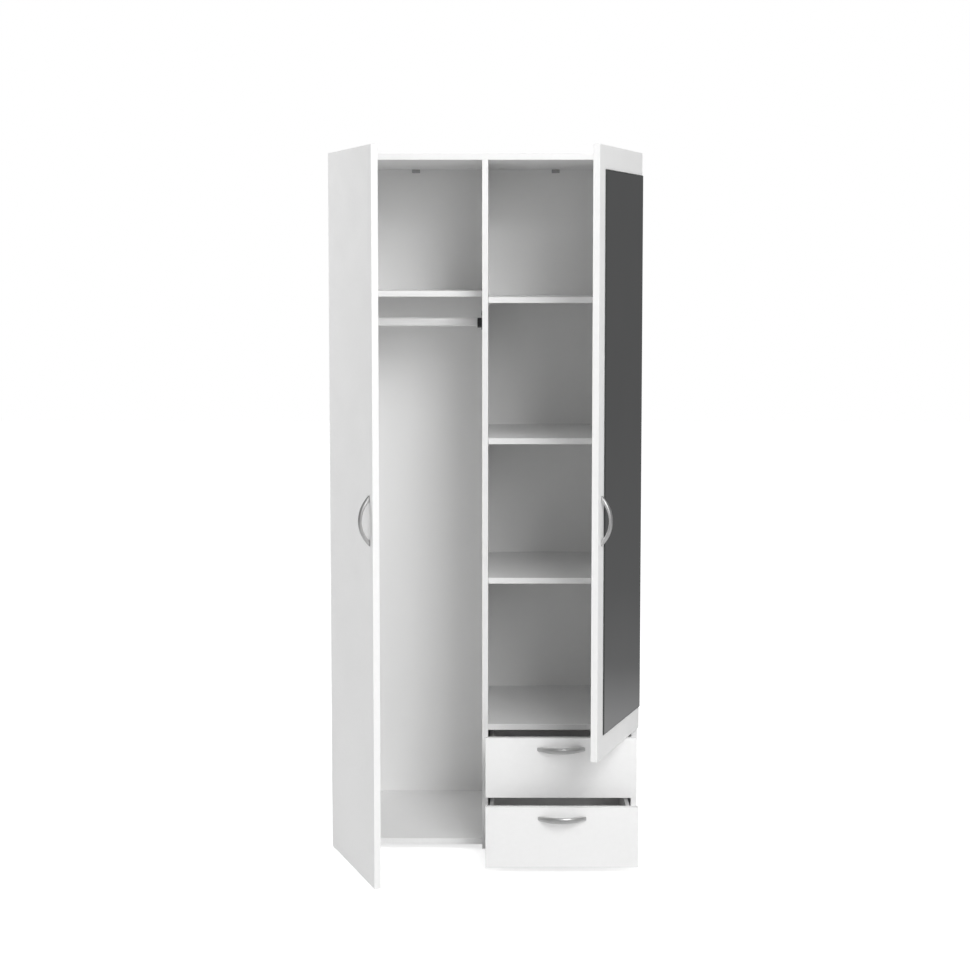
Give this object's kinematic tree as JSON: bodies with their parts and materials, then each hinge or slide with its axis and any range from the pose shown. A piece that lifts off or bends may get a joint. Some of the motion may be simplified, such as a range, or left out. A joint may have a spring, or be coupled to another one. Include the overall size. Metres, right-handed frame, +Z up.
{
  "type": "wardrobe",
  "caption": "Free-standing white wardrobe: hanging space with a hat shelf behind one door, shelves behind a mirrored door, drawers with bow handles below it.",
  "frame": {"origin": "on the floor, at the middle of the centre partition's footprint, on the underside of its skid", "axes": "+X to the right of someone facing the wardrobe, +Y to its back, +Z up; the doors and drawers open towards -Y"},
  "size_m": [0.7759, 0.8374, 1.754],
  "materials": {
    "white_foil": "chipboard covered in white foil, fine satin texture, edges banded",
    "hardboard": "thin hardboard, white lacquer on the inner face, raw brown outside",
    "white_plastic": "moulded white plastic",
    "grey_plastic": "moulded grey plastic",
    "dark_plastic": "moulded dark grey plastic, fine grain",
    "rail": "oval steel tube, white enamel",
    "hinge_steel": "zinc-plated steel",
    "handle_metal": "satin nickel-plated die-cast metal",
    "mirror_glass": "silvered glass with ground edges"
  },
  "bodies": {
    "carcass": {"left_side": "white_foil", "right_side": "white_foil", "centre_partition": "white_foil", "top_panel": "white_foil", "bottom_panel_left": "white_foil", "bottom_panel_right": "white_foil", "hat_shelf": "white_foil", "drawer_top_shelf": "white_foil", "shelf_lower": "white_foil", "shelf_middle": "white_foil", "shelf_upper": "white_foil", "back_panel_left": "hardboard", "back_panel_right": "hardboard", "back_clip_left": "grey_plastic", "back_clip_right": "grey_plastic", "floor_skid_left": "white_plastic", "floor_skid_middle": "white_plastic", "floor_skid_right": "white_plastic", "clothes_rail": "rail", "rail_socket_left": "dark_plastic", "rail_socket_right": "dark_plastic", "lower_runner_left": "white_plastic", "lower_runner_right": "white_plastic", "upper_runner_left": "white_plastic", "upper_runner_right": "white_plastic", "left_hinge_1_frame_leaf": "hinge_steel", "left_hinge_2_frame_leaf": "hinge_steel", "left_hinge_3_frame_leaf": "hinge_steel", "left_hinge_4_frame_leaf": "hinge_steel", "right_hinge_1_frame_leaf": "hinge_steel", "right_hinge_2_frame_leaf": "hinge_steel", "right_hinge_3_frame_leaf": "hinge_steel"},
    "left_door_body": {"left_door": "white_foil", "left_door_handle": "handle_metal", "left_hinge_1_door_leaf": "hinge_steel", "left_hinge_2_door_leaf": "hinge_steel", "left_hinge_3_door_leaf": "hinge_steel", "left_hinge_4_door_leaf": "hinge_steel"},
    "right_door_body": {"right_door": "white_foil", "mirror": "mirror_glass", "right_door_handle": "handle_metal", "right_hinge_1_door_leaf": "hinge_steel", "right_hinge_2_door_leaf": "hinge_steel", "right_hinge_3_door_leaf": "hinge_steel"},
    "lower_drawer": {"lower_drawer_front": "white_foil", "lower_drawer_side_left": "white_foil", "lower_drawer_side_right": "white_foil", "lower_drawer_back": "white_foil", "lower_drawer_bottom": "hardboard", "lower_drawer_handle": "handle_metal"},
    "upper_drawer": {"upper_drawer_front": "white_foil", "upper_drawer_side_left": "white_foil", "upper_drawer_side_right": "white_foil", "upper_drawer_back": "white_foil", "upper_drawer_bottom": "hardboard", "upper_drawer_handle": "handle_metal"}
  },
  "joints": [
    {"name": "left_door_hinge", "type": "hinge", "parent": "carcass", "child": "left_door_body", "pos_m": [-0.3786, -0.243, 0.885], "axis": [0, 0, -1], "range_deg": [-70, 95]},
    {"name": "right_door_hinge", "type": "hinge", "parent": "carcass", "child": "right_door_body", "pos_m": [0.3786, -0.243, 1.037], "axis": [0, 0, 1], "range_deg": [-70.7, 94.3]},
    {"name": "lower_drawer_slide", "type": "slide", "parent": "carcass", "child": "lower_drawer", "axis": [0, -1, 0], "range_m": [-0.177, 0.143]},
    {"name": "upper_drawer_slide", "type": "slide", "parent": "carcass", "child": "upper_drawer", "axis": [0, -1, 0], "range_m": [-0.1, 0.22]}
  ]
}
